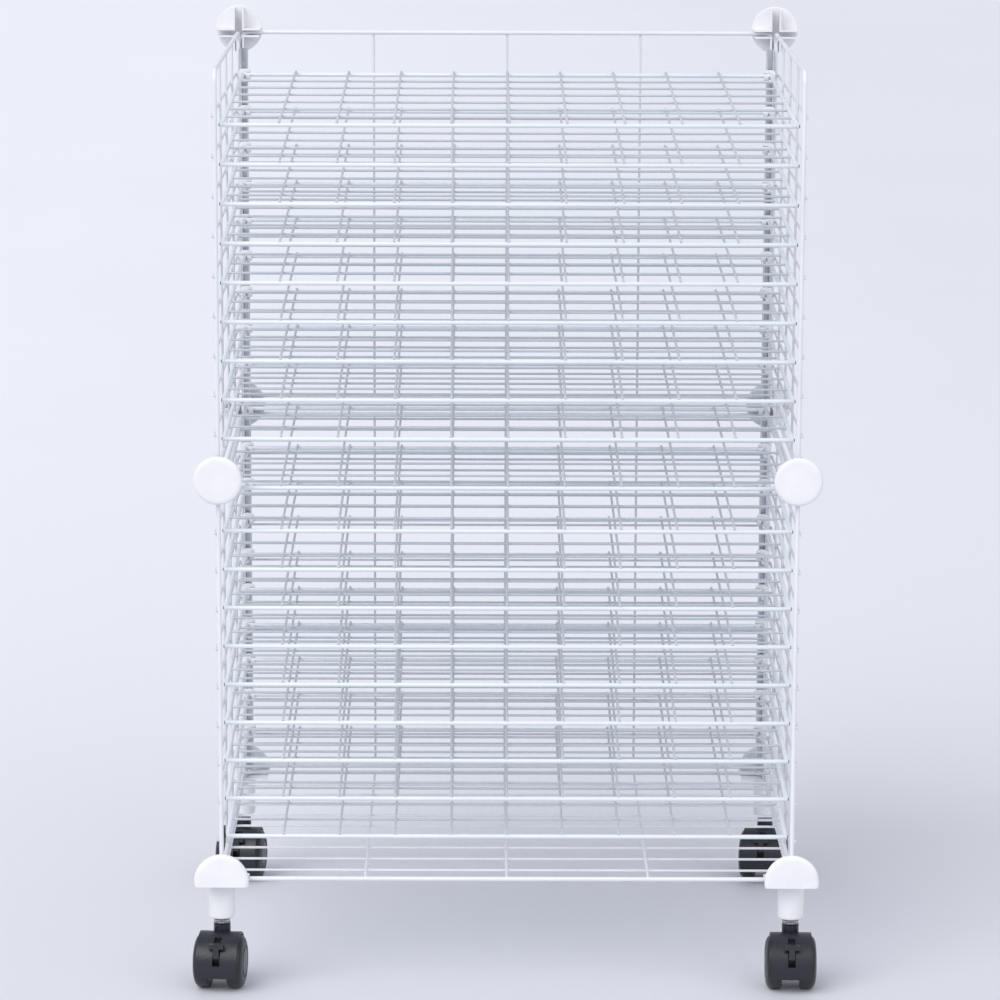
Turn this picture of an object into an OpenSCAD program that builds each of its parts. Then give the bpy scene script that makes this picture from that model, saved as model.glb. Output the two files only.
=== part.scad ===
// Mobile drying rack for art paper: a white wire-grid cabinet frame on four
// braked twin-wheel casters, holding nineteen tilting wire shelves.
// Millimetres, +Z up, front toward -Y. The origin is on the floor, midway
// between the side grids and midway between their front and rear wires.

/* [Frame] */
// distance between the centre planes of the two side grids
frame_w = 510; // [480:1:560]
// depth of a side grid, front wire centre to rear wire centre
side_d = 372; // [360:1:400]
// height of one grid, bottom wire centre to top wire centre
grid_h = 350; // [340:1:352]
// height of the lower grids' bottom wire centre
grid_z0 = 108; // [106:0.5:112]
// free height between the stacked grids, wire centre to wire centre
grid_gap = 18; // [16:0.5:22]
// distance of the back grid plane behind the side grids' rear wire
back_off = 8; // [7:0.5:10]
// height of the bottom grid's border wire centre
bottom_z = 102.4; // [101:0.1:102.5]
// radius of the bent corners of the grids
corner_r = 10; // [8:0.5:12]

/* [Wires] */
// radius of the border wires and shelf rods
rod_r = 2; // [1.8:0.05:2.2]
// radius of the thin grid wires
wire_r = 1.1; // [0.9:0.05:1.2]
// wires of a grid between its two long border wires
grid_rows = 9; // [7:1:9]
// wires of a grid the other way
grid_cols = 3; // [2:1:3]
// how far the level wires of the upright grids sit below an even spacing
row_drop = 4.5; // [0:0.5:5]
// how far a crossing wire is pressed into the one it is welded to
weld = 0.4; // [0.3:0.05:0.5]

/* [Shelves] */
// shelves hung on the upper grids
upper_shelves = 9; // [9:1:9]
// shelves hung on the lower grids
lower_shelves = 10; // [10:1:10]
// shelf width, side rod centre to side rod centre
shelf_w = 500; // [490:1:502]
// shelf depth, front rod centre to rear rod centre
shelf_s = 346; // [330:1:348]
// distance of the shelf hinge line behind the frame centre
hinge_y = 170; // [168:0.5:171]
// slope of a resting shelf, front lower than rear, in degrees
droop = 1.65; // [0:0.05:2.5]
// cross wires of a shelf, front to rear
shelf_cols = 9; // [5:1:9]
// long wires of a shelf, left to right
shelf_rows = 6; // [4:1:6]

/* [Connectors] */
// radius of the round corner connectors
disc_r = 22; // [20:0.5:22]
// radius of the half-round foot connectors
foot_r = 24.5; // [23:0.5:25]
// thickness of a connector's face plate
disc_t = 4; // [3:0.5:4.5]
// thickness of a connector's ribs
rib_t = 1.6; // [1.2:0.1:1.8]
// radius of a foot connector's leg at its top
leg_r = 12; // [11:0.25:12]
// height of the lower end of a leg
leg_z = 62.3; // [61:0.1:66]

/* [Casters] */
// radius of a caster wheel
wheel_r = 24; // [24:0.1:24.2]
// distance of a caster's axle from its stem, toward the front
trail = 11; // [10:1:14]
// radius of a caster's stem collar and neck
neck_r = 7.6; // [6.5:0.1:8]
// height at which the neck leaves the caster housing
hood_z = 51.5; // [51:0.5:52]
// half width of a caster housing
hood_w = 18.4; // [17.5:0.1:18.6]
// radius of the steel caster axle
axle_r = 3; // [2.5:0.1:3.2]
// turn of the front left caster about its stem, in degrees
turn_fl = -6; // [-20:1:20]
// turn of the front right caster about its stem, in degrees
turn_fr = -1; // [-20:1:20]
// turn of the rear left caster about its stem, in degrees
turn_rl = -8; // [-20:1:20]
// turn of the rear right caster about its stem, in degrees
turn_rr = -10; // [-20:1:20]

/* [Hidden] */
$fn = 48;
e = 0.01;
sx = frame_w / 2;
sy = side_d / 2;
upper_z0 = grid_z0 + grid_h + grid_gap;
top_z = upper_z0 + grid_h;
mid_z = (grid_z0 + grid_h + upper_z0) / 2;
row_pitch = grid_h / (grid_rows + 1);
foot_z = bottom_z + 0.1;
back_y = sy + back_off;
front_leg_y = -sy + 18;
leg_out = 1.2;
rear_leg_y = sy - 3;
hood_r = wheel_r + 2.8;
row_off = rod_r + wire_r - weld;
col_off = row_off - 2 * wire_r + 0.3;
// shelf hinge heights, shelf 1 at the top; the tenth sits at the joint between the grids
hinge_z = [for (i = [0 : upper_shelves - 1]) top_z - 3 - row_pitch - i * 34.6,
           for (i = [0 : lower_shelves - 1]) i == 0 ? mid_z + 0.4 : mid_z - 3.4 - i * 34.9];
hinge_r = rod_r + 0.5;
post_in = sx - 9.4;
post_out = sx - 2.3;
post_y0 = hinge_y + 5.4;
post_y1 = sy - 2.9;

// ---- shapes used by several parts ----

module bar_x(l, r) { rotate([0, 90, 0]) cylinder(h = l, r = r, center = true); }
module bar_y(l, r) { rotate([90, 0, 0]) cylinder(h = l, r = r, center = true); }

// a quarter bend of border wire, from the +X direction to the +Y direction
module bend(r, big) {
  rotate_extrude(angle = 90) translate([big, 0]) circle(r = r, $fn = 32);
}

// a closed loop of border wire in the XY plane with bent corners
module border(w, h) {
  for (s = [-1, 1]) {
    translate([0, s * h / 2, 0]) bar_x(w - 2 * corner_r, rod_r);
    translate([s * w / 2, 0, 0]) bar_y(h - 2 * corner_r, rod_r);
  }
  for (q = [0 : 3])
    translate([(q == 0 || q == 3 ? 1 : -1) * (w / 2 - corner_r), (q < 2 ? 1 : -1) * (h / 2 - corner_r), 0])
      rotate([0, 0, 90 * q]) bend(rod_r, corner_r);
}

// a welded grid in the XY plane: rows run along X on the -Z side, columns along Y
module grid(w, h, drop) {
  border(w, h);
  for (i = [1 : grid_rows])
    translate([0, -h / 2 + i * h / (grid_rows + 1) - drop, -row_off]) bar_x(w + 2 * rod_r + 1, wire_r);
  for (i = [1 : grid_cols])
    translate([-w / 2 + i * w / (grid_cols + 1), 0, -col_off]) bar_y(h, wire_r);
}

// the smooth face plate of a connector, its outer face toward -Y
module face_plate(r, t) {
  rotate([90, 0, 0]) translate([0, 0, -t]) rotate_extrude()
    polygon([[0, 0], [r - 0.6, 0], [r, 0.8], [r - 0.15, t - 2.2], [r - 0.8, t - 1.1], [r - 2, t - 0.35], [r - 4, t], [0, t]]);
}

// four angled ribs that leave an upright and a level slot between them
module ribs(r, deep, up, level, shift) {
  intersection() {
    rotate([-90, 0, 0]) cylinder(h = deep, r = r - 1.4);
    union() for (a = [-1, 1], b = [-1, 1]) {
      translate([a < 0 ? -up - rib_t : up, 0, b < 0 ? -r : shift + level]) cube([rib_t, deep, b < 0 ? r + shift - level : r - shift - level]);
      translate([a < 0 ? -r : up, 0, b < 0 ? shift - level - rib_t : shift + level]) cube([r - up, deep, rib_t]);
    }
  }
}

// ---- frame ----

module side_grid(side, z0) {
  color([0.93, 0.94, 0.97]) translate([side * sx, 0, z0 + grid_h / 2])
    rotate([90, 0, 90]) scale([1, 1, 1]) rotate([0, side > 0 ? 180 : 0, 0]) grid(side_d, grid_h, row_drop);
}

module back_grid(z0) {
  color([0.93, 0.94, 0.97]) translate([0, back_y, z0 + grid_h / 2]) rotate([90, 0, 0]) grid(frame_w - 3, grid_h, row_drop);
}

module bottom_grid() {
  color([0.93, 0.94, 0.97]) translate([0, 1, bottom_z]) grid(frame_w - 2, side_d - 2, 0);
}

// upright slotted channel that carries the hinge clips
module post(side) {
  color([0.72, 0.73, 0.76]) translate([side > 0 ? post_in : -post_out, post_y0, grid_z0 - 2]) difference() {
    cube([post_out - post_in, post_y1 - post_y0, top_z - 12 - grid_z0]);
    translate([1.5, -1, -1]) cube([post_out - post_in - 3, post_y1 - post_y0 - 0.5, top_z]);
  }
}

// one clip: a tongue in the post, an open eye around the shelf's rear rod and a lip under its side rod
module clip(side) {
  eye_in = shelf_w / 2 - rod_r - 5.2;
  eye_l = 4.6;
  difference() {
    union() {
      // plate in front of the post
      translate([side > 0 ? eye_in : -eye_in - 11.4, 3.3, -5]) cube([11.4, 1.6, 10]);
      // tongue held in the slot of the post
      translate([side > 0 ? post_in + 1.7 : -post_out + 1.7, 4.8, -5]) cube([post_out - post_in - 3.4, 4, 10]);
      // eye
      translate([side > 0 ? eye_in : -eye_in - eye_l, 0, 0]) rotate([0, 90, 0]) cylinder(h = eye_l, r = 4.9);
      // lip under the side rod
      rotate([droop, 0, 0]) translate([side > 0 ? shelf_w / 2 - 2.6 : -shelf_w / 2 - 2.6, -14, -5.6]) cube([5.2, 18.2, 3]);
    }
    rotate([0, 90, 0]) cylinder(h = 3 * shelf_w, r = hinge_r, center = true);
    // mouth of the eye, up and forward
    rotate([40, 0, 0]) translate([side > 0 ? eye_in - 1 : -eye_in - eye_l - 1, -1.4, 0]) cube([eye_l + 2, 2.8, 8]);
    // room for the turning rear corner of the shelf
    translate([side > 0 ? shelf_w / 2 - rod_r - 0.5 : -shelf_w / 2 - 4.5, 0, 0]) rotate([0, 90, 0]) cylinder(h = rod_r + 5, r = 2.55);
  }
}

module hinge_clips(side) {
  color([0.95, 0.95, 0.96]) for (z = hinge_z) translate([0, hinge_y, z]) clip(side);
}

// ring of free space around the bent corners of the back grids
module bend_room(side) {
  for (z = [top_z - corner_r, upper_z0 + corner_r, grid_z0 + grid_h - corner_r])
    translate([side * ((frame_w - 3) / 2 - corner_r), back_y, z]) rotate([90, 0, 0])
      rotate_extrude() translate([corner_r, 0]) circle(r = rod_r + 0.35, $fn = 32);
}

// rear connectors face backward and hold both the side and the back grids
module rear_connector(side, z, shift) {
  color([0.96, 0.96, 0.97]) difference() {
    translate([side * (sx - 0.4), back_y + 4.2, z]) {
      mirror([0, 1, 0]) translate([0, -disc_t, 0]) face_plate(disc_r, disc_t);
      mirror([0, 1, 0]) translate([0, -0.5, 0]) ribs(disc_r, 14.5, 3.4, 2.4, shift);
    }
    bend_room(side);
  }
}

// front connectors hold the side grids one above the other
module front_connector(side, z) {
  color([0.96, 0.96, 0.97]) translate([side * sx, -sy - 6 - disc_t, z]) {
    face_plate(disc_r - 0.4, disc_t);
    translate([0, disc_t - 0.5, 0]) ribs(disc_r, 11, 2.4, 12, 0);
  }
}

// half-round foot connector: face plate, ribs over the grid corner, floor plate and leg
module foot(side, back) {
  m = back ? 1 : 0;
  color([0.96, 0.96, 0.97]) translate([side * sx, back ? back_y + 4.2 + disc_t : -sy - 6 - disc_t, foot_z]) mirror([0, m, 0]) {
    difference() {
      union() {
        face_plate(foot_r, disc_t);
        // curved wall behind the face plate
        difference() {
          translate([0, disc_t - 0.5, 0]) rotate([-90, 0, 0]) cylinder(h = back ? 2.3 : 4.2, r = foot_r - 1);
          translate([0, disc_t - 1, 0]) rotate([-90, 0, 0]) cylinder(h = 8, r = foot_r - 3);
        }
      }
      translate([-40, -40, -65.2]) cube([80, 80, 60]);
    }
    // ribs beside the upright wires, clear of the grids
    for (a = [-1, 1]) translate([a > 0 ? 3.2 : -3.2 - rib_t, disc_t - 0.5, 4.2]) cube([rib_t, back ? 2.3 : 4.2, 16.5]);
    // floor plate under the corner of the bottom grid
    translate([-foot_r + 1.2, disc_t - 0.5, -4]) cube([2 * foot_r - 2.4, back ? 28 : 33, 1.7]);
    translate([side * leg_out, 0, 0]) foot_leg(back ? back_y + 4.2 + disc_t - rear_leg_y : sy + 6 + disc_t + front_leg_y);
  }
}

module foot_leg(yy) {
  h = foot_z - 3.2 - leg_z;
  translate([0, yy, -3.2 - h]) rotate_extrude()
    polygon([[4.2, 0], [leg_r - 2, 0], [leg_r - 0.9, 0.6], [leg_r - 0.5, 1.6], [leg_r, h], [0, h], [0, 28], [4.2, 28]]);
}

// ---- shelves ----

// a welded shelf, hinge line on the X axis, front toward -Y
module shelf(z) {
  color([0.90, 0.92, 0.96]) translate([0, hinge_y, z]) rotate([droop, 0, 0]) {
    bar_x(shelf_w + 2, rod_r);
    translate([0, -shelf_s, 0]) bar_x(shelf_w + 4, rod_r);
    for (s = [-1, 1]) translate([s * shelf_w / 2, -shelf_s / 2, 0]) bar_y(shelf_s, rod_r - 0.05);
    for (i = [1 : shelf_rows]) translate([0, -i * shelf_s / (shelf_rows + 1), 0.4]) bar_x(shelf_w, wire_r);
    for (i = [1 : shelf_cols])
      translate([-shelf_w / 2 + i * shelf_w / (shelf_cols + 1), -shelf_s / 2, row_off]) bar_y(shelf_s + 3, wire_r);
  }
}

// ---- casters: drawn around the stem axis, axle toward -Y ----

module caster_at(side, back) {
  translate([side * (sx + leg_out), back ? rear_leg_y : front_leg_y, 0])
    rotate([0, 0, back ? (side < 0 ? turn_rl : turn_rr) : (side < 0 ? turn_fl : turn_fr)]) children();
}

// steel stem with its bright collar, fixed in the leg
module stem() {
  color([0.80, 0.81, 0.83]) {
    translate([0, 0, leg_z - 5.4]) cylinder(h = 5.2, r = neck_r);
    translate([0, 0, leg_z - 0.4]) cylinder(h = 27, r = 4);
    translate([0, 0, hood_z - 10]) cylinder(h = leg_z - 5 - hood_z + 10, r = 3.9);
  }
}

// housing: a curved hood over both wheels, a middle web with the stem socket, neck
module housing() {
  color([0.13, 0.13, 0.15]) {
    hood();
    // pivot pin of the brake, across the lower slot
    translate([0, -trail - 21.5, 34]) bar_x(8, 1.2);
  }
}

module hood() {
  difference() {
    union() {
      intersection() {
        translate([0, -trail, wheel_r]) bar_x(2 * hood_w, hood_r);
        translate([-30, -trail - 28, 14.5]) cube([60, 53, 60]);
      }
      // neck, standing on the middle web
      translate([0, 0, hood_z - 14]) cylinder(h = leg_z - 5.7 - hood_z + 14, r = neck_r);
      translate([-6, -trail, 30]) cube([12, trail + 7, hood_z - 34]);
    }
    // wheel wells on both sides of the middle web
    for (s = [-1, 1]) translate([s > 0 ? 7.9 : -hood_w - 1, -trail, wheel_r]) rotate([0, 90, 0]) cylinder(h = hood_w + 1 - 7.9, r = wheel_r + 0.9);
    // open rear and underside of the wells
    for (s = [-1, 1]) translate([s > 0 ? 7.9 : -hood_w - 1, -trail, -1]) cube([hood_w + 1 - 7.9, 60, wheel_r + 6]);
    // axle bore
    translate([0, -trail, wheel_r]) bar_x(30, axle_r + 0.05);
    // stem socket
    translate([0, 0, hood_z - 10.3]) cylinder(h = 30, r = 3.98);
    // slots in the front of the hood for the brake
    translate([-3.3, -trail - 29, 45.2]) cube([6.6, 20, 3.6]);
    translate([-3.3, -trail - 29, 26.6]) cube([6.6, 11.4, 17.2]);
  }
}

// a twin wheel: tread and domed outer face, two to a caster
module wheels() {
  color([0.10, 0.10, 0.11]) for (s = [-1, 1])
    translate([0, -trail, wheel_r]) rotate([0, s * 90, 0]) difference() {
      rotate_extrude($fn = 96) polygon([[0, 8.4], [wheel_r - 1.2, 8.4], [wheel_r - 0.3, 8.9], [wheel_r, 10], [wheel_r, 16.8],
        [wheel_r - 0.2, 18.3], [wheel_r - 1, 19.8], [wheel_r - 2.6, 21.2], [wheel_r - 5.4, 22.3], [wheel_r - 9, 22.8],
        [wheel_r - 9.8, 21.8], [wheel_r - 10.8, 21.8], [wheel_r - 11.6, 22.9], [0, 22.9]]);
      translate([0, 0, 8]) cylinder(h = 10.5, r = axle_r);
    }
}

module axle() {
  color([0.7, 0.71, 0.73]) translate([0, -trail, wheel_r]) bar_x(36.6, axle_r - 0.02);
}

// T-shaped toe lever in the front slots, turning on the housing's pin
module brake() {
  color([0.16, 0.16, 0.18]) translate([0, -trail, 0]) {
    difference() {
      union() {
        translate([0, -21.5, 34]) bar_x(5.4, 3);
        translate([-2.7, -26, 34]) cube([5.4, 3, 11]);
      }
      translate([0, -21.5, 34]) bar_x(8, 1.28);
    }
    translate([-6.7, -25.6, 42.3]) cube([13.4, 4.8, 4]);
  }
}

// ---- nodes ----

side_grid(-1, upper_z0);  // side_grid_upper_left
side_grid(-1, grid_z0);  // side_grid_lower_left
side_grid(1, upper_z0);  // side_grid_upper_right
side_grid(1, grid_z0);  // side_grid_lower_right
back_grid(upper_z0);  // back_grid_upper
back_grid(grid_z0);  // back_grid_lower
bottom_grid();
post(-1);  // post_left
post(1);  // post_right
hinge_clips(-1);  // hinge_clips_left
hinge_clips(1);  // hinge_clips_right
rear_connector(-1, top_z + 3, -3);  // connector_top_left
rear_connector(1, top_z + 3, -3);  // connector_top_right
front_connector(-1, mid_z);  // connector_front_left
front_connector(1, mid_z);  // connector_front_right
rear_connector(-1, mid_z, 0);  // connector_rear_left
rear_connector(1, mid_z, 0);  // connector_rear_right
foot(-1, false);  // foot_front_left
foot(1, false);  // foot_front_right
foot(-1, true);  // foot_rear_left
foot(1, true);  // foot_rear_right
shelf(hinge_z[0]);  // shelf_01
shelf(hinge_z[1]);  // shelf_02
shelf(hinge_z[2]);  // shelf_03
shelf(hinge_z[3]);  // shelf_04
shelf(hinge_z[4]);  // shelf_05
shelf(hinge_z[5]);  // shelf_06
shelf(hinge_z[6]);  // shelf_07
shelf(hinge_z[7]);  // shelf_08
shelf(hinge_z[8]);  // shelf_09
shelf(hinge_z[9]);  // shelf_10
shelf(hinge_z[10]);  // shelf_11
shelf(hinge_z[11]);  // shelf_12
shelf(hinge_z[12]);  // shelf_13
shelf(hinge_z[13]);  // shelf_14
shelf(hinge_z[14]);  // shelf_15
shelf(hinge_z[15]);  // shelf_16
shelf(hinge_z[16]);  // shelf_17
shelf(hinge_z[17]);  // shelf_18
shelf(hinge_z[18]);  // shelf_19
caster_at(-1, false) stem();  // stem_front_left
caster_at(1, false) stem();  // stem_front_right
caster_at(-1, true) stem();  // stem_rear_left
caster_at(1, true) stem();  // stem_rear_right
caster_at(-1, false) housing();  // housing_front_left
caster_at(1, false) housing();  // housing_front_right
caster_at(-1, true) housing();  // housing_rear_left
caster_at(1, true) housing();  // housing_rear_right
caster_at(-1, false) wheels();  // wheels_front_left
caster_at(1, false) wheels();  // wheels_front_right
caster_at(-1, true) wheels();  // wheels_rear_left
caster_at(1, true) wheels();  // wheels_rear_right
caster_at(-1, false) axle();  // axle_front_left
caster_at(1, false) axle();  // axle_front_right
caster_at(-1, true) axle();  // axle_rear_left
caster_at(1, true) axle();  // axle_rear_right
caster_at(-1, false) brake();  // brake_front_left
caster_at(1, false) brake();  // brake_front_right
caster_at(-1, true) brake();  // brake_rear_left
caster_at(1, true) brake();  // brake_rear_right
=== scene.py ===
import math
import random

import bpy
from mathutils import Matrix, Vector


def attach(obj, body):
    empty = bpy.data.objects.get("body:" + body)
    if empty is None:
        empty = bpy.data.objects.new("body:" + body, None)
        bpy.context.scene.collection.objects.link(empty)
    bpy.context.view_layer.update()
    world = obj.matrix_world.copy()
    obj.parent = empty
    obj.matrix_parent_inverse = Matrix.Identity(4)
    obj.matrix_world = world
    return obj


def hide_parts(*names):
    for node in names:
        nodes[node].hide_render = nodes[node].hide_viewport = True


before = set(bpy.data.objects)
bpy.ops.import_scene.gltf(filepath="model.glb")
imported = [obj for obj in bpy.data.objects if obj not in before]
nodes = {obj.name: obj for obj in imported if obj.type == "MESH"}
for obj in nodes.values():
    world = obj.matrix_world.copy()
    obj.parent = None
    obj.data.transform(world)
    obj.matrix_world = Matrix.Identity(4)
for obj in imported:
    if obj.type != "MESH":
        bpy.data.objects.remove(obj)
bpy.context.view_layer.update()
random.seed(11)

# ---------------------------------------------------------------- sizes, mm
SX, SY = 255.0, 186.0
GRID_H, GRID_Z0, GAP = 350.0, 108.0, 18.0
UP_Z0 = GRID_Z0 + GRID_H + GAP
TOP_Z = UP_Z0 + GRID_H
MID_Z = (GRID_Z0 + GRID_H + UP_Z0) / 2
BACK_Y = SY + 8.0
BOTTOM_Z = 102.4
CR = 10.0
ROD, WIRE, WELD = 2.0, 1.1, 0.4
ROWS, COLS = 9, 3
DROP = 4.5
SH_W, SH_S, HINGE_Y, DROOP = 500.0, 346.0, 170.0, 1.65
SH_COLS, SH_ROWS = 9, 6
ROW_OFF = ROD + WIRE - WELD
COL_OFF = ROW_OFF - 2 * WIRE + 0.3
HINGE_Z = [TOP_Z - 3 - 35 - i * 34.6 for i in range(9)] + [
    MID_Z + 0.4 if i == 0 else MID_Z - 3.4 - i * 34.9 for i in range(10)
]
FRONT_LEG, REAR_LEG, LEG_OUT = -SY + 18, SY - 3, 1.2


def T(x, y, z):
    return Matrix.Translation((x, y, z))


def R(a=0, b=0, c=0):
    return (
        Matrix.Rotation(math.radians(c), 4, "Z")
        @ Matrix.Rotation(math.radians(b), 4, "Y")
        @ Matrix.Rotation(math.radians(a), 4, "X")
    )


class Mesh:
    """Collects vertices and faces in millimetres."""

    def __init__(self):
        self.v, self.f, self.m = [], [], []
        self.cur = 0  # material of what is added next: 0 main, 1 second

    def add(self, verts, faces, M=None):
        o = len(self.v)
        flip = M is not None and M.determinant() < 0
        self.v += [(M @ Vector(p)) if M is not None else Vector(p) for p in verts]
        for f in faces:
            f = [i + o for i in f]
            self.f.append(f[::-1] if flip else f)
            self.m.append(self.cur)

    def rings(self, rings, M=None, closed=False, caps=True):
        n = len(rings[0])
        verts = [p for r in rings for p in r]
        faces = []
        m = len(rings)
        for i in range(m if closed else m - 1):
            j = (i + 1) % m
            for k in range(n):
                l = (k + 1) % n
                faces.append((i * n + k, i * n + l, j * n + l, j * n + k))
        if not closed and caps:
            faces.append(tuple(range(n))[::-1])
            faces.append(tuple((m - 1) * n + k for k in range(n)))
        self.add(verts, faces, M)

    def rod(self, a, b, r, M=None, seg=16, ch=0.3, bow=0.0):
        a, b = Vector(a), Vector(b)
        d = (b - a).normalized()
        u = Vector((0, 0, 1)) if abs(d.z) < 0.9 else Vector((1, 0, 0))
        w = d.cross(u).normalized()
        u = w.cross(d)
        L = (b - a).length
        st = [(0, r - ch), (ch * 0.4, r - ch * 0.35), (ch, r)]
        if bow:
            st += [(L * t, r) for t in (0.25, 0.5, 0.75)]
        st += [(L - ch, r), (L - ch * 0.4, r - ch * 0.35), (L, r - ch)]
        rr = []
        for s, q in st:
            c = a + d * s + Vector((0, 0, 1)) * (-bow * 4 * (s / L) * (1 - s / L))
            rr.append([c + w * (q * math.cos(t)) + u * (q * math.sin(t)) for t in [2 * math.pi * k / seg for k in range(seg)]])
        self.rings(rr, M)

    def border(self, w, h, r, M=None, seg=20):
        pts = []
        for q, (sx, sy) in enumerate([(1, 1), (-1, 1), (-1, -1), (1, -1)]):
            for k in range(9):
                t = math.radians(90 * q + k * 90 / 8)
                pts.append(Vector((sx * (w / 2 - CR) + CR * math.cos(t), sy * (h / 2 - CR) + CR * math.sin(t), 0)))
        rr = []
        n = len(pts)
        for i, p in enumerate(pts):
            t = (pts[(i + 1) % n] - pts[i - 1]).normalized()
            u = Vector((0, 0, 1))
            w_ = t.cross(u)
            rr.append([p + w_ * (r * math.cos(a)) + u * (r * math.sin(a)) for a in [2 * math.pi * k / seg for k in range(seg)]])
        self.rings(rr, M, closed=True)

    def blob(self, c, rx, ry, rz, M=None, n=8, m=5):
        """A small flattened ball: a weld nugget."""
        verts = [(c[0], c[1], c[2] - rz)]
        for i in range(1, m):
            a = math.pi * i / m
            for k in range(n):
                b = 2 * math.pi * k / n
                verts.append((c[0] + rx * math.sin(a) * math.cos(b), c[1] + ry * math.sin(a) * math.sin(b), c[2] - rz * math.cos(a)))
        verts.append((c[0], c[1], c[2] + rz))
        faces = [(0, 1 + (k + 1) % n, 1 + k) for k in range(n)]
        for i in range(m - 2):
            o = 1 + i * n
            faces += [(o + k, o + (k + 1) % n, o + n + (k + 1) % n, o + n + k) for k in range(n)]
        o = 1 + (m - 2) * n
        last = len(verts) - 1
        faces += [(o + k, o + (k + 1) % n, last) for k in range(n)]
        self.add(verts, faces, M)

    def lathe(self, prof, M=None, seg=64):
        """Closed turning around the local Z axis; prof is a list of (radius, z)."""
        verts, index = [], []
        for r, z in prof:
            if r < 1e-6:
                index.append([len(verts)] * seg)
                verts.append((0, 0, z))
            else:
                index.append(list(range(len(verts), len(verts) + seg)))
                verts += [(r * math.cos(2 * math.pi * k / seg), r * math.sin(2 * math.pi * k / seg), z) for k in range(seg)]
        faces = []
        for a, b in zip(index, index[1:]):
            for k in range(seg):
                l = (k + 1) % seg
                f = []
                for i in (a[k], a[l], b[l], b[k]):
                    if i not in f:
                        f.append(i)
                if len(f) > 2:
                    faces.append(tuple(f))
        self.add(verts, faces, M)

    def prism(self, outline, h, M=None, ch=0.4):
        """Extrusion of a convex or simple outline along local Z with chamfered ends."""
        n = len(outline)
        area = sum(outline[i][0] * outline[(i + 1) % n][1] - outline[(i + 1) % n][0] * outline[i][1] for i in range(n))
        if area < 0:
            outline = outline[::-1]

        def inset(d):
            out = []
            for i in range(n):
                p0, p1, p2 = (Vector(outline[(i + j) % n]).to_2d() for j in (-1, 0, 1))
                e1, e2 = (p1 - p0).normalized(), (p2 - p1).normalized()
                n1, n2 = Vector((-e1.y, e1.x)), Vector((-e2.y, e2.x))
                b = n1 + n2
                b = b / max(0.35, b.dot(b) / 2) if b.length > 1e-6 else n1
                out.append(p1 + b * d)
            return out

        lo = inset(ch)
        rr = [[(p.x, p.y, 0) for p in lo], [(p[0], p[1], ch) for p in outline], [(p[0], p[1], h - ch) for p in outline], [(p.x, p.y, h) for p in lo]]
        self.rings(rr, M)


def rbox(x0, x1, y0, y1, r=0.5, k=3):
    """Rounded rectangle outline."""
    pts = []
    for cx, cy, a0 in ((x1 - r, y1 - r, 0), (x0 + r, y1 - r, 90), (x0 + r, y0 + r, 180), (x1 - r, y0 + r, 270)):
        for i in range(k + 1):
            a = math.radians(a0 + 90 * i / k)
            pts.append((cx + r * math.cos(a), cy + r * math.sin(a)))
    return pts


# ---------------------------------------------------------------- materials

def base_mat(name):
    m = bpy.data.materials.new(name)
    m.use_nodes = True
    nt = m.node_tree
    nt.nodes.clear()
    out = nt.nodes.new("ShaderNodeOutputMaterial")
    bs = nt.nodes.new("ShaderNodeBsdfPrincipled")
    nt.links.new(bs.outputs[0], out.inputs[0])
    co = nt.nodes.new("ShaderNodeTexCoord")
    return m, nt, bs, co.outputs["Object"]


def noise(nt, vec, scale, detail=3.0, rough=0.55, stretch=None):
    if stretch:
        mp = nt.nodes.new("ShaderNodeMapping")
        mp.inputs["Scale"].default_value = stretch
        nt.links.new(vec, mp.inputs["Vector"])
        vec = mp.outputs[0]
    n = nt.nodes.new("ShaderNodeTexNoise")
    n.inputs["Scale"].default_value = scale
    n.inputs["Detail"].default_value = detail
    n.inputs["Roughness"].default_value = rough
    nt.links.new(vec, n.inputs["Vector"])
    return n.outputs["Fac"]


def ramp(nt, fac, stops):
    r = nt.nodes.new("ShaderNodeValToRGB")
    el = r.color_ramp.elements
    el[0].position, el[0].color = stops[0][0], (*stops[0][1], 1)
    el[1].position, el[1].color = stops[-1][0], (*stops[-1][1], 1)
    for p, c in stops[1:-1]:
        e_ = el.new(p)
        e_.color = (*c, 1)
    nt.links.new(fac, r.inputs[0])
    return r.outputs[0]


def span(nt, fac, lo, hi, a=0.3, b=0.7):
    m = nt.nodes.new("ShaderNodeMapRange")
    m.inputs["From Min"].default_value = a
    m.inputs["From Max"].default_value = b
    m.inputs["To Min"].default_value = lo
    m.inputs["To Max"].default_value = hi
    nt.links.new(fac, m.inputs["Value"])
    return m.outputs[0]


def mul(nt, a, b):
    m = nt.nodes.new("ShaderNodeMix")
    m.data_type = "RGBA"
    m.blend_type = "MULTIPLY"
    m.inputs["Factor"].default_value = 1.0
    nt.links.new(a, m.inputs["A"])
    nt.links.new(b, m.inputs["B"])
    return m.outputs["Result"]


def bump(nt, bs, height, strength, dist, prev=None):
    b = nt.nodes.new("ShaderNodeBump")
    b.inputs["Strength"].default_value = strength
    b.inputs["Distance"].default_value = dist
    nt.links.new(height, b.inputs["Height"])
    if prev is not None:
        nt.links.new(prev, b.inputs["Normal"])
    nt.links.new(b.outputs[0], bs.inputs["Normal"])
    return b.outputs[0]


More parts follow.
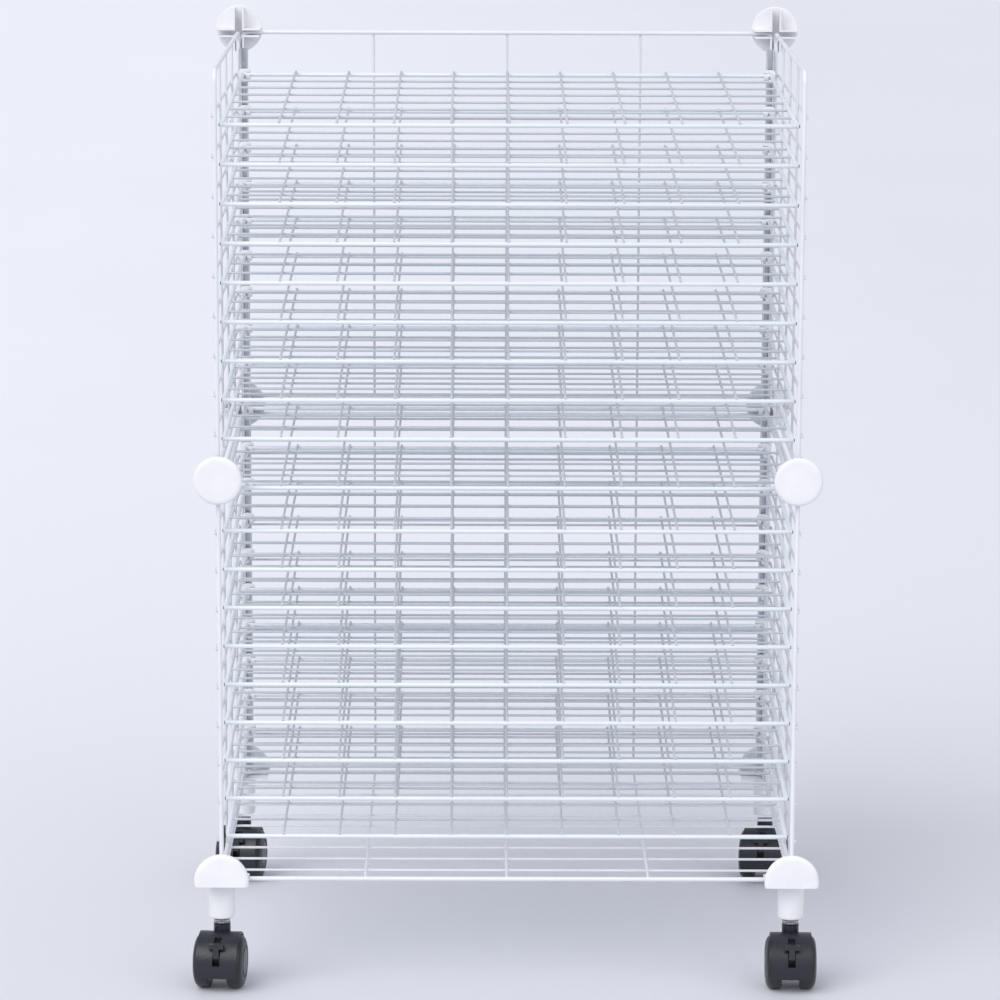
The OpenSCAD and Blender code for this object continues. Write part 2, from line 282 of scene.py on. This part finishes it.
def powder(name, c, dirt):
    """Sprayed and baked powder coat: faint orange peel, patchy gloss, thin grey dust."""
    m, nt, bs, co = base_mat(name)
    tone = ramp(nt, noise(nt, co, 14, 4), [(0.3, [v * 0.955 for v in c]), (0.5, c), (0.72, [min(1, v * 1.02) for v in c])])
    spots = ramp(nt, noise(nt, co, 160, 5, 0.7), [(0.18, dirt), (0.36, (1, 1, 1)), (1.0, (1, 1, 1))])
    nt.links.new(mul(nt, tone, spots), bs.inputs["Base Color"])
    nt.links.new(span(nt, noise(nt, co, 45, 3), 0.24, 0.46), bs.inputs["Roughness"])
    bs.inputs["Specular IOR Level"].default_value = 0.5
    bs.inputs["Coat Weight"].default_value = 0.12
    bs.inputs["Coat Roughness"].default_value = 0.25
    p = bump(nt, bs, noise(nt, co, 420, 2), 0.22, 0.0004)
    bump(nt, bs, noise(nt, co, 60, 2), 0.10, 0.0008, p)
    return m


def moulded(name, c, lo, hi, grain, scuff, spec=0.5, coat=0.0, edge=None):
    """Injection-moulded plastic: fine spark-eroded grain, flow marks and scuffs."""
    m, nt, bs, co = base_mat(name)
    tone = ramp(nt, noise(nt, co, 30, 4), [(0.28, [v * 0.93 for v in c]), (0.52, c), (0.75, [min(1, v * 1.05) for v in c])])
    marks = ramp(nt, noise(nt, co, 90, 6, 0.75, (1, 1, 3)), [(0.24, scuff), (0.40, (1, 1, 1)), (1.0, (1, 1, 1))])
    nt.links.new(mul(nt, tone, marks), bs.inputs["Base Color"])
    r1 = span(nt, noise(nt, co, 70, 4), lo, hi)
    nt.links.new(r1, bs.inputs["Roughness"])
    bs.inputs["Specular IOR Level"].default_value = spec
    if coat:
        bs.inputs["Coat Weight"].default_value = coat
        bs.inputs["Coat Roughness"].default_value = 0.3
    p = bump(nt, bs, noise(nt, co, 1500, 2), grain, 0.0003)
    bump(nt, bs, noise(nt, co, 120, 3), 0.08, 0.0008, p)
    return m


def zinc(name):
    """Zinc-plated rolled steel: spangle, faint rolling lines along the channel."""
    m, nt, bs, co = base_mat(name)
    vo = nt.nodes.new("ShaderNodeTexVoronoi")
    vo.inputs["Scale"].default_value = 170
    nt.links.new(co, vo.inputs["Vector"])
    lines = noise(nt, co, 60, 4, 0.6, (12, 12, 0.25))
    tone = ramp(nt, noise(nt, co, 22, 5), [(0.25, (0.50, 0.52, 0.57)), (0.5, (0.66, 0.68, 0.72)), (0.8, (0.76, 0.78, 0.82))])
    sp = ramp(nt, vo.outputs["Distance"], [(0.0, (0.86, 0.87, 0.89)), (0.6, (1, 1, 1)), (1.0, (1, 1, 1))])
    nt.links.new(mul(nt, tone, sp), bs.inputs["Base Color"])
    bs.inputs["Metallic"].default_value = 0.9
    nt.links.new(span(nt, lines, 0.30, 0.55), bs.inputs["Roughness"])
    bump(nt, bs, lines, 0.12, 0.0004)
    return m


def bright(name, c, lo, hi, stretch):
    """Plated or turned steel with fine polishing lines."""
    m, nt, bs, co = base_mat(name)
    tone = ramp(nt, noise(nt, co, 120, 4), [(0.25, [v * 0.8 for v in c]), (0.55, c), (0.8, [min(1, v * 1.08) for v in c])])
    nt.links.new(tone, bs.inputs["Base Color"])
    bs.inputs["Metallic"].default_value = 1.0
    lines = noise(nt, co, 200, 3, 0.6, stretch)
    nt.links.new(span(nt, lines, lo, hi), bs.inputs["Roughness"])
    bump(nt, bs, lines, 0.08, 0.0002)
    return m


MAT = {
    "frame_wire": powder("frame_powder_coat", (0.80, 0.815, 0.86), (0.84, 0.84, 0.86)),
    "shelf_wire": powder("shelf_powder_coat", (0.76, 0.81, 0.86), (0.82, 0.83, 0.85)),
    # Thin cross wires: the same white powder coat as the thick wires, painted darker as painted shade.
    "painted_shade_thin_frame_wire": powder("thin_frame_painted_shade_coat", (0.66, 0.68, 0.72), (0.82, 0.82, 0.84)),
    "thin_shelf_wire": powder("thin_shelf_powder_coat", (0.56, 0.60, 0.65), (0.80, 0.81, 0.83)),
    "zinc_channel": zinc("zinc_plate"),
    "white_plastic": moulded("white_moulding", (0.855, 0.855, 0.88), 0.30, 0.48, 0.10, (0.93, 0.93, 0.94), coat=0.08),
    "bright_steel": bright("bright_plate", (0.50, 0.50, 0.53), 0.08, 0.20, (1, 1, 14)),
    "axle_steel": bright("turned_steel", (0.60, 0.61, 0.64), 0.22, 0.42, (14, 1, 1)),
    "black_housing": moulded("black_nylon_hood", (0.012, 0.013, 0.022), 0.26, 0.42, 0.35, (1.9, 1.9, 1.9), spec=0.55),
    "black_wheel": moulded("black_nylon_wheel", (0.010, 0.011, 0.016), 0.26, 0.42, 0.30, (2.2, 2.2, 2.2), spec=0.5),
    "black_lever": moulded("black_nylon_lever", (0.022, 0.023, 0.030), 0.24, 0.38, 0.30, (2.0, 2.0, 2.0), spec=0.55),
    "end_plug": moulded("end_plug_plastic", (0.035, 0.037, 0.045), 0.40, 0.60, 0.25, (1.6, 1.6, 1.6)),
}


def make(name, mesh, body, slot, replaces=(), angle=34, mat=None, second=None):
    me = bpy.data.meshes.new(name)
    me.from_pydata([tuple(v * 0.001) for v in mesh.v], [], mesh.f)
    me.materials.append(mat or MAT[slot])
    if second:
        me.materials.append(second)
        me.polygons.foreach_set("material_index", mesh.m)
    me.validate()
    me.update()
    me.polygons.foreach_set("use_smooth", [True] * len(me.polygons))
    me.set_sharp_from_angle(angle=math.radians(angle))
    ob = bpy.data.objects.new(name, me)
    bpy.context.scene.collection.objects.link(ob)
    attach(ob, body)
    if replaces:
        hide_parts(*replaces)
    return ob


# ---------------------------------------------------------------- grids

def grid_mesh(w, h, M, rng, drop=0.0):
    g = Mesh()
    g.border(w, h, ROD, M)
    # Cross wires take the second material: on the side and back grids a darker copy of the coat, painted shade.
    g.cur = 1
    for i in range(1, ROWS + 1):
        y = -h / 2 + i * h / (ROWS + 1) - drop + rng.uniform(-0.25, 0.25)
        e = rng.uniform(0, 0.5)
        g.rod((-w / 2 - 2.5 + e, y, -ROW_OFF), (w / 2 + 2.5 - rng.uniform(0, 0.5), y, -ROW_OFF), WIRE, M, seg=14)
        for s in (-1, 1):
            g.blob((s * w / 2, y, -ROD + 0.15), 1.5, 1.45, 0.75, M)
        for j in range(1, COLS + 1):
            g.blob((-w / 2 + j * w / (COLS + 1), y, -COL_OFF - 0.95), 1.15, 1.15, 0.62, M)
    for j in range(1, COLS + 1):
        x = -w / 2 + j * w / (COLS + 1)
        g.rod((x, -h / 2, -COL_OFF), (x, h / 2, -COL_OFF), WIRE, M, seg=14)
        for s in (-1, 1):
            g.blob((x, s * (h / 2 - 1.6), -COL_OFF + 0.1), 1.5, 1.0, 1.0, M)
    return g


for side, sn in ((-1, "left"), (1, "right")):
    for z0, zn in ((GRID_Z0, "lower"), (UP_Z0, "upper")):
        M = T(side * SX, 0, z0 + GRID_H / 2) @ R(90, 0, 90) @ R(0, 180 if side > 0 else 0, 0)
        n = "side_grid_%s_%s" % (zn, sn)
        make("wire_" + n, grid_mesh(2 * SY, GRID_H, M, random.Random(n), DROP), "frame", "frame_wire", [n], second=MAT["painted_shade_thin_frame_wire"])
for z0, zn in ((GRID_Z0, "lower"), (UP_Z0, "upper")):
    M = T(0, BACK_Y, z0 + GRID_H / 2) @ R(90, 0, 0)
    n = "back_grid_" + zn
    make("wire_" + n, grid_mesh(2 * SX - 3, GRID_H, M, random.Random(n), DROP), "frame", "frame_wire", [n], second=MAT["painted_shade_thin_frame_wire"])
make("wire_bottom_grid", grid_mesh(2 * SX - 2, 2 * SY - 2, T(0, 1, BOTTOM_Z), random.Random("b")), "frame", "frame_wire", ["bottom_grid"], second=MAT["frame_wire"])

# ---------------------------------------------------------------- shelves

for i, z in enumerate(HINGE_Z):
    n = "shelf_%02d" % (i + 1)
    rng = random.Random(n)
    M = T(0, HINGE_Y, z) @ R(DROOP, 0, 0)
    g = Mesh()
    g.rod((-SH_W / 2 - 1, 0, 0), (SH_W / 2 + 1, 0, 0), ROD, M, seg=20)
    g.rod((-SH_W / 2 - 1.4, -SH_S, 0), (SH_W / 2 + 1.4, -SH_S, 0), ROD, M, seg=20)
    for s in (-1, 1):
        g.rod((s * SH_W / 2, -SH_S, 0), (s * SH_W / 2, 0, 0), ROD - 0.05, M, seg=20)
        for y in (-SH_S, 0):
            # fused corner joint
            g.blob((s * (SH_W / 2 - 1.6), y + (1.6 if y else -1.6), 0), 2.3, 2.3, 1.75, M, n=12, m=7)
    # Cross wires take the darker copy of the shelf coat, painted shade.
    g.cur = 1
    for j in range(1, SH_ROWS + 1):
        y = -j * SH_S / (SH_ROWS + 1)
        g.rod((-SH_W / 2, y, 0.4), (SH_W / 2, y, 0.4), WIRE, M, seg=14, bow=rng.uniform(-0.1, 0.35))
        for s in (-1, 1):
            g.blob((s * (SH_W / 2 - 1.7), y, 0.35), 0.9, 1.6, 1.35, M)
    for j in range(1, SH_COLS + 1):
        x = -SH_W / 2 + j * SH_W / (SH_COLS + 1) + rng.uniform(-0.3, 0.3)
        e0, e1 = rng.uniform(0, 0.4), rng.uniform(0, 0.4)
        g.rod((x, 1.5 - e0, ROW_OFF), (x, -SH_S - 1.5 + e1, ROW_OFF), WIRE, M, seg=14, ch=0.35)
        for y in (0, -SH_S):
            g.blob((x, y, ROD - 0.1), 1.5, 1.6, 0.8, M)
        for k in range(1, SH_ROWS + 1):
            g.blob((x, -k * SH_S / (SH_ROWS + 1), 1.55), 1.2, 1.2, 0.7, M, n=7, m=4)
    make("wire_" + n, g, n, "shelf_wire", [n], second=MAT["thin_shelf_wire"])
    # dark plugs in the ends of the front rod
    p = Mesh()
    for s in (-1, 1):
        p.lathe([(0, 0.9), (1.1, 0.9), (1.45, 0.7), (1.6, 0.3), (1.6, -0.4), (0, -0.4)], M @ T(s * (SH_W / 2 + 1.25), -SH_S, 0) @ R(0, s * 90, 0), seg=20)
    make("end_plugs_" + n, p, n, "black_housing", mat=MAT["end_plug"])

# ---------------------------------------------------------------- posts

for side, sn in ((-1, "left"), (1, "right")):
    x0, x1 = (SX - 9.4, SX - 2.3)
    y0, y1 = HINGE_Y + 5.4, SY - 2.9
    t, r = 1.5, 0.45
    # outline of the open channel, front toward -Y
    out = [(x0, y0), (x0 + t, y0), (x0 + t, y1 - t), (x1 - t, y1 - t), (x1 - t, y0), (x1, y0), (x1, y1), (x0, y1)]
    pts = []
    m = len(out)
    for k in range(m):
        p0, p1, p2 = Vector(out[k - 1]), Vector(out[k]), Vector(out[(k + 1) % m])
        a, b = (p0 - p1).normalized(), (p2 - p1).normalized()
        pts += [p1 + a * r, p1 + (a + b) * r * 0.3, p1 + b * r]
    g = Mesh()
    g.prism([(p.x * side, p.y) for p in pts], TOP_Z - 12 - GRID_Z0, T(0, 0, GRID_Z0 - 2), ch=0.15)
    make("channel_post_" + sn, g, "frame", "zinc_channel", ["post_" + sn])

# ---------------------------------------------------------------- hinge clips

for side, sn in ((-1, "left"), (1, "right")):
    g = Mesh()
    ein = SH_W / 2 - ROD - 5.2
    for z in HINGE_Z:
        # local frame mirrored for the left side
        M = T(0, HINGE_Y, z) @ Matrix.Diagonal((side, 1, 1, 1))
        g.prism(rbox(ein, ein + 11.4, -5, 5, 3.4, 6), 1.6, M @ T(0, 4.9, 0) @ R(90, 0, 0), ch=0.4)
        g.prism(rbox(SX - 9.4 + 1.7, SX - 2.3 - 1.7, -5, 5, 0.7), 4.2, M @ T(0, 8.8, 0) @ R(90, 0, 0), ch=0.4)
        # open eye around the rear rod, its mouth up and forward
        ri, ro, half = 2.5, 4.9, 34
        arc = []
        for k in range(33):
            a = math.radians(130 + half + (360 - 2 * half) * k / 32)
            arc.append((ro * math.cos(a), ro * math.sin(a)))
        for k in range(33):
            a = math.radians(130 - half - (360 - 2 * half) * k / 32)
            arc.append((ri * math.cos(a), ri * math.sin(a)))
        # outline lies in local YZ, extruded along X
        g.prism(arc, 4.6, M @ T(ein, 0, 0) @ Matrix(((0, 0, 1, 0), (1, 0, 0, 0), (0, 1, 0, 0), (0, 0, 0, 1))), ch=0.3)
        g.prism(rbox(SH_W / 2 - 2.6, SH_W / 2 + 2.6, -14, 4.2, 1.0), 3, M @ R(DROOP, 0, 0) @ T(0, 0, -5.6), ch=0.5)
        # rib between plate and lip
        g.prism([(3.6, -5.6), (4.2, -5.6), (4.2, 5.0), (3.6, 5.0)], 1.4, M @ T(SH_W / 2 + 0.6, 0, 0) @ Matrix(((0, 0, 1, 0), (1, 0, 0, 0), (0, 1, 0, 0), (0, 0, 0, 1))), ch=0.2)
    make("clips_" + sn, g, "frame", "white_plastic", ["hinge_clips_" + sn])

# ---------------------------------------------------------------- connectors


for n, ob in nodes.items():
    pre = n.split("_")[0]
    slot = {
        "foot": "white_plastic", "stem": "bright_steel", "axle": "axle_steel", "housing": "black_housing",
        "wheels": "black_wheel", "brake": "black_lever", "connector": "white_plastic",
    }.get(pre)
    if slot:
        ob.data.materials.clear()
        ob.data.materials.append(MAT[slot])
        ob.data.polygons.foreach_set("use_smooth", [True] * len(ob.data.polygons))
        ob.data.set_sharp_from_angle(angle=math.radians(30))
        if pre in ("foot", "housing", "brake", "connector"):
            bv = ob.modifiers.new("soft_edges", "BEVEL")
            bv.width = 0.00035
            bv.segments = 2
            bv.limit_method = "ANGLE"
            bv.angle_limit = math.radians(40)
            bv.use_clamp_overlap = True
            bv.harden_normals = False

# ---------------------------------------------------------------- caster stems

STEM = [(0, 41.5), (3.6, 41.5), (3.9, 41.9), (3.9, 56.9), (6.6, 56.9), (7.15, 57.15), (7.35, 57.6), (7.35, 58.0), (6.5, 58.3),
        (6.5, 58.9), (7.45, 59.25), (7.6, 59.7), (7.6, 60.6), (7.2, 61.15), (5.9, 61.4), (5.7, 61.9), (4.0, 62.1), (4.0, 88.5), (3.6, 88.9), (0, 88.9)]
for end, y in (("front", FRONT_LEG), ("rear", REAR_LEG)):
    for side, sn in ((-1, "left"), (1, "right")):
        g = Mesh()
        g.lathe(STEM, T(side * (SX + LEG_OUT), y, 0), seg=48)
        make("turned_stem_%s_%s" % (end, sn), g, "frame", "bright_steel", ["stem_%s_%s" % (end, sn)])

# ---------------------------------------------------------------- stage, light, camera

me = bpy.data.meshes.new("floor")
S = 30
me.from_pydata([(-S, -S, 0), (S, -S, 0), (S, S, 0), (-S, S, 0)], [], [(0, 1, 2, 3)])
floor = bpy.data.objects.new("floor", me)
bpy.context.scene.collection.objects.link(floor)
fm, fnt, fbs, fco = base_mat("floor_paper")
# Painted light on the floor: the colour runs darker near the camera and lighter far back, a painted light falloff, and
# darker towards +X, a painted side shade.
sep = fnt.nodes.new("ShaderNodeSeparateXYZ")
fnt.links.new(fco, sep.inputs[0])
far = span(fnt, sep.outputs["Y"], 0.0, 1.0, -0.9, 2.2)
painted_light_falloff = ramp(fnt, far, [(0.0, (0.66, 0.67, 0.725)), (0.22, (0.76, 0.775, 0.83)), (0.45, (0.82, 0.835, 0.89)), (1.0, (0.85, 0.87, 0.925))])
painted_side_shade = ramp(fnt, span(fnt, sep.outputs["X"], 0.0, 1.0, -0.9, 0.9), [(0.0, (1, 1, 1)), (1.0, (0.90, 0.90, 0.905))])
painted_light_falloff = mul(fnt, painted_light_falloff, painted_side_shade)
fnt.links.new(mul(fnt, painted_light_falloff, ramp(fnt, noise(fnt, fco, 0.8, 3), [(0.3, (0.98, 0.98, 0.985)), (0.7, (1, 1, 1))])), fbs.inputs["Base Color"])
fbs.inputs["Roughness"].default_value = 0.55
fbs.inputs["Specular IOR Level"].default_value = 0.25
me.materials.append(fm)

w = bpy.data.worlds.new("studio")
bpy.context.scene.world = w
w.use_nodes = True
bg = w.node_tree.nodes["Background"]
bg.inputs[0].default_value = (0.93, 0.94, 1.0, 1)
bg.inputs[1].default_value = 0.66


def sun(name, direction, spread, power, color=(1, 1, 1)):
    """A wide soft light from far away, so the floor is lit evenly."""
    l = bpy.data.lights.new(name, "SUN")
    l.angle = math.radians(spread)
    l.energy = power
    l.color = color
    o = bpy.data.objects.new(name, l)
    o.rotation_euler = (-Vector(direction)).to_track_quat("-Z", "Y").to_euler()
    bpy.context.scene.collection.objects.link(o)
    return o


sun("key_left", (-1.0, -1.1, 1.4), 48, 1.6, (1.0, 0.99, 0.97))
sun("fill_right", (1.1, -1.3, 0.9), 55, 0.6, (0.96, 0.98, 1.0))

cam = bpy.data.cameras.new("camera")
cam.sensor_width = 36
cam.lens = 4272.0 / 1000.0 * 36
cam.clip_end = 100
co_ = bpy.data.objects.new("camera", cam)
co_.location = (-0.0254, -3.8729, 1.1813)
PITCH, YAW, ROLL = 0.19607, 0.00495, 0.0035
co_.rotation_euler = (Matrix.Rotation(-YAW, 4, "Z") @ Matrix.Rotation(math.pi / 2 - PITCH, 4, "X") @ Matrix.Rotation(ROLL, 4, "Z")).to_euler()
bpy.context.scene.collection.objects.link(co_)
bpy.context.scene.camera = co_
bpy.context.scene.view_settings.view_transform = "Standard"
bpy.context.scene.view_settings.look = "None"
